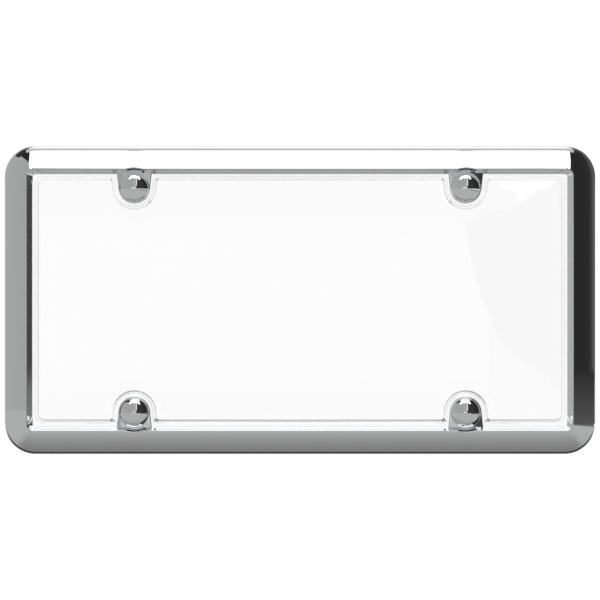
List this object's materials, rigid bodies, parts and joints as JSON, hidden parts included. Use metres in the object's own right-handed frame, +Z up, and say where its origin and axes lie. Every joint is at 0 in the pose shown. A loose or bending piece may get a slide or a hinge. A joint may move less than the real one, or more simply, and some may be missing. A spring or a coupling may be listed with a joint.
{
  "type": "number plate holder",
  "caption": "Chromed number plate frame with a raised ridge, a clear bubble shield and domed snap caps over its corner fixings.",
  "frame": {"origin": "centre of the pattern of fixing screws, on the plane of the shield's back, where the number plate beds", "axes": "+X to the right seen from the front, -Y out of the front towards the viewer, +Z up"},
  "size_m": [0.3174, 0.028, 0.1656],
  "materials": {
    "chrome_frame": "bright mirror chrome plating",
    "chrome_cap": "bright mirror chrome plating on a moulded cap",
    "clear_shield": "clear glossy moulded sheet",
    "natural_nylon": "translucent off-white nylon",
    "zinc_steel": "bright zinc plating",
    "blue_nylon": "dark blue nylon ring"
  },
  "bodies": {
    "root": {"frame": "chrome_frame", "shield": "clear_shield", "cap_top_left": "chrome_cap", "cap_top_right": "chrome_cap", "cap_bottom_left": "chrome_cap", "cap_bottom_right": "chrome_cap", "washer_top_left": "natural_nylon", "washer_top_right": "natural_nylon", "washer_bottom_left": "natural_nylon", "washer_bottom_right": "natural_nylon", "tapping_screw_top_left": "zinc_steel", "tapping_screw_top_right": "zinc_steel", "nylon_insert_top_left": "natural_nylon", "nylon_insert_top_right": "natural_nylon", "machine_screw_bottom_left": "zinc_steel", "machine_screw_bottom_right": "zinc_steel", "lock_nut_bottom_left": "zinc_steel", "lock_nut_bottom_right": "zinc_steel", "nut_ring_bottom_left": "blue_nylon", "nut_ring_bottom_right": "blue_nylon"}
  },
  "joints": []
}
